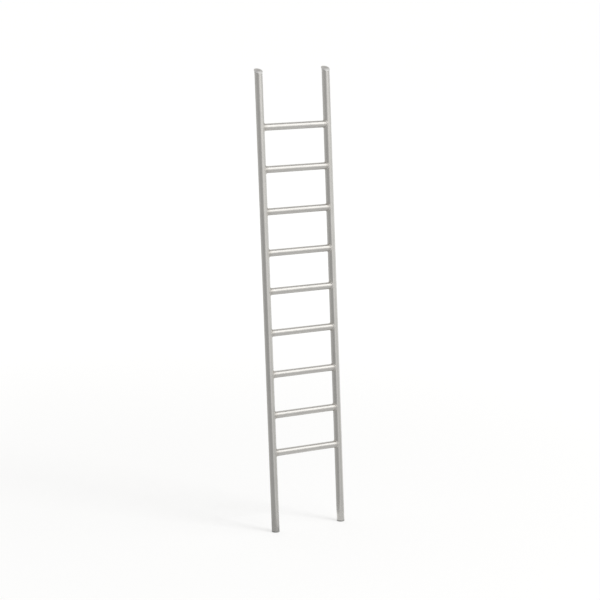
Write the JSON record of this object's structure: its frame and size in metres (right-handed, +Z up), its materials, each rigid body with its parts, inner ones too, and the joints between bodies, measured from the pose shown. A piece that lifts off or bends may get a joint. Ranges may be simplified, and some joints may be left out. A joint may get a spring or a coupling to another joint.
{
  "type": "climbing ladder",
  "caption": "Straight climbing ladder of round steel tube, with slanted capped stile tops, welded rungs and grey foot plugs, leaning slightly back.",
  "frame": {"origin": "floor level, midway between the two stiles and midway between the front of the feet and the back edge of the top caps", "axes": "+X along the rungs towards the right stile, +Y towards the back, the way the top leans, +Z straight up"},
  "size_m": [0.5064, 0.2494, 2.768],
  "materials": {
    "tube_steel": "satin",
    "rung_steel": "satin",
    "weld_steel": "satin, as welded",
    "cap_steel": "satin",
    "foot_rubber": "matte"
  },
  "bodies": {
    "root": {"left_stile": "tube_steel", "left_top_cap": "cap_steel", "left_foot_plug": "foot_rubber", "right_stile": "tube_steel", "right_top_cap": "cap_steel", "right_foot_plug": "foot_rubber", "rung_1": "rung_steel", "rung_1_weld_left": "weld_steel", "rung_1_weld_right": "weld_steel", "rung_2": "rung_steel", "rung_2_weld_left": "weld_steel", "rung_2_weld_right": "weld_steel", "rung_3": "rung_steel", "rung_3_weld_left": "weld_steel", "rung_3_weld_right": "weld_steel", "rung_4": "rung_steel", "rung_4_weld_left": "weld_steel", "rung_4_weld_right": "weld_steel", "rung_5": "rung_steel", "rung_5_weld_left": "weld_steel", "rung_5_weld_right": "weld_steel", "rung_6": "rung_steel", "rung_6_weld_left": "weld_steel", "rung_6_weld_right": "weld_steel", "rung_7": "rung_steel", "rung_7_weld_left": "weld_steel", "rung_7_weld_right": "weld_steel", "rung_8": "rung_steel", "rung_8_weld_left": "weld_steel", "rung_8_weld_right": "weld_steel", "rung_9": "rung_steel", "rung_9_weld_left": "weld_steel", "rung_9_weld_right": "weld_steel"}
  },
  "joints": []
}
